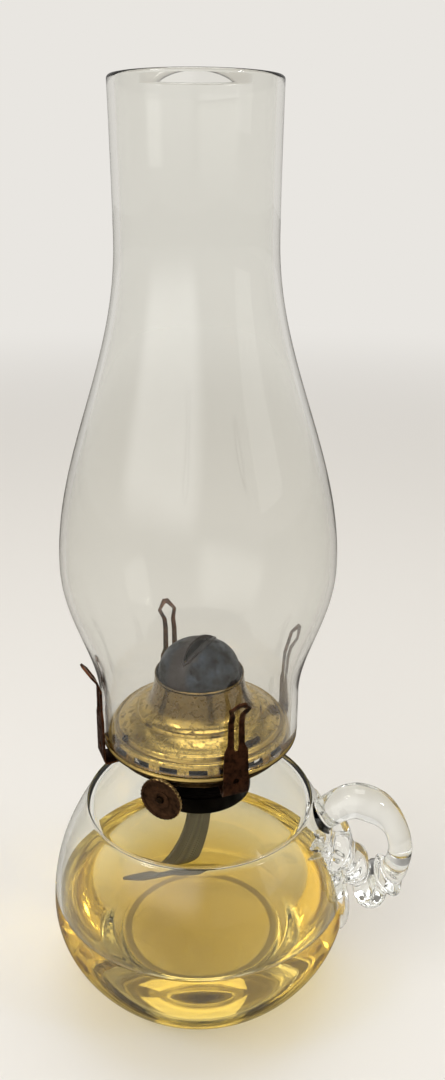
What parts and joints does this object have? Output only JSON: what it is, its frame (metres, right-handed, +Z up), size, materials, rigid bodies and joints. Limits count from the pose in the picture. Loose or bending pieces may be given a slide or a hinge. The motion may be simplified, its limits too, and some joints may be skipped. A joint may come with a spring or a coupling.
{
  "type": "chamber lamp",
  "caption": "Small clear glass oil lamp with an applied finger handle, brass flat-wick burner, spring prongs and a tall bulged chimney.",
  "frame": {"origin": "centre of the font's underside, on the surface the lamp stands on", "axes": "+Z up along the axis of the font, burner and chimney; +X from that axis towards the finger handle"},
  "size_m": [0.1246, 0.103, 0.2983],
  "materials": {
    "clear_glass": "clear, smooth",
    "lamp_oil": null,
    "aged_brass": "aged, mottled, half bright",
    "dark_brass": "dark brown tarnish",
    "heat_blued_brass": "heat blued and sooted",
    "plaster": "dull plaster of Paris",
    "cotton_wick": "woven cotton, scorched at the top"
  },
  "bodies": {
    "font": {"glass_font": "clear_glass", "glass_handle": "clear_glass", "font_collar": "aged_brass", "collar_plaster": "plaster", "lamp_oil": "lamp_oil"},
    "thread": {"screw_shell": "aged_brass"},
    "burner": {"burner_cup": "dark_brass", "gallery_pan": "aged_brass", "wick_tube": "aged_brass", "shaft_ferrule": "aged_brass", "shaft_bracket": "aged_brass", "prong_rivet_1": "dark_brass", "prong_rivet_2": "dark_brass", "prong_rivet_3": "dark_brass", "prong_rivet_4": "dark_brass"},
    "hood": {"burner_hood": "aged_brass", "flame_dome": "heat_blued_brass"},
    "wick": {"flat_wick": "cotton_wick"},
    "wick_wheel": {"wick_shaft": "aged_brass", "thumb_wheel": "dark_brass", "spur_wheel_1": "aged_brass", "spur_wheel_2": "aged_brass", "spur_wheel_3": "aged_brass"},
    "spring_prong_1": {"prong_1": "dark_brass"},
    "spring_prong_2": {"prong_2": "dark_brass"},
    "spring_prong_3": {"prong_3": "dark_brass"},
    "spring_prong_4": {"prong_4": "dark_brass"},
    "chimney": {"glass_chimney": "clear_glass"}
  },
  "joints": [
    {"name": "burner_rise", "type": "slide", "parent": "font", "child": "thread", "axis": [0, 0, 1], "range_m": [0, 0.0045], "deforming": ["lamp_oil"]},
    {"name": "burner_turn", "type": "hinge", "parent": "thread", "child": "burner", "pos_m": [0, 0, 0.09], "axis": [0, 0, 1], "range_deg": [0, 900], "deforming": ["lamp_oil"]},
    {"name": "hood_lift", "type": "slide", "parent": "burner", "child": "hood", "axis": [0, 0, 1], "range_m": [0, 0.02]},
    {"name": "wick_turn", "type": "hinge", "parent": "burner", "child": "wick_wheel", "pos_m": [0.00399, -0.0013, 0.0955], "axis": [-0.309, -0.9511, 0], "range_deg": [-121, 161]},
    {"name": "wick_raise", "type": "slide", "parent": "burner", "child": "wick", "axis": [0, 0, 1], "range_m": [-0.0081, 0.0061], "deforming": ["lamp_oil"]},
    {"name": "prong_flex_1", "type": "hinge", "parent": "burner", "child": "spring_prong_1", "pos_m": [0.01251, -0.02257, 0.09695], "axis": [0.8746, 0.4848, 0], "range_deg": [0, 5], "stiffness_Nm_per_rad": 0.3},
    {"name": "prong_flex_2", "type": "hinge", "parent": "burner", "child": "spring_prong_2", "pos_m": [0.02257, 0.01251, 0.09695], "axis": [-0.4848, 0.8746, 0], "range_deg": [0, 5], "stiffness_Nm_per_rad": 0.3},
    {"name": "prong_flex_3", "type": "hinge", "parent": "burner", "child": "spring_prong_3", "pos_m": [-0.01251, 0.02257, 0.09695], "axis": [-0.8746, -0.4848, 0], "range_deg": [0, 5], "stiffness_Nm_per_rad": 0.3},
    {"name": "prong_flex_4", "type": "hinge", "parent": "burner", "child": "spring_prong_4", "pos_m": [-0.02257, -0.01251, 0.09695], "axis": [0.4848, -0.8746, 0], "range_deg": [0, 5], "stiffness_Nm_per_rad": 0.3},
    {"name": "chimney_lift", "type": "slide", "parent": "burner", "child": "chimney", "axis": [0, 0, 1], "range_m": [0, 0.08]}
  ],
  "couplings": [
    {"joint": "burner_rise", "follows": "burner_turn", "m_per_rad": 0.00028648},
    {"joint": "wick_turn", "follows": "wick_raise", "rad_per_m": -344.83}
  ]
}
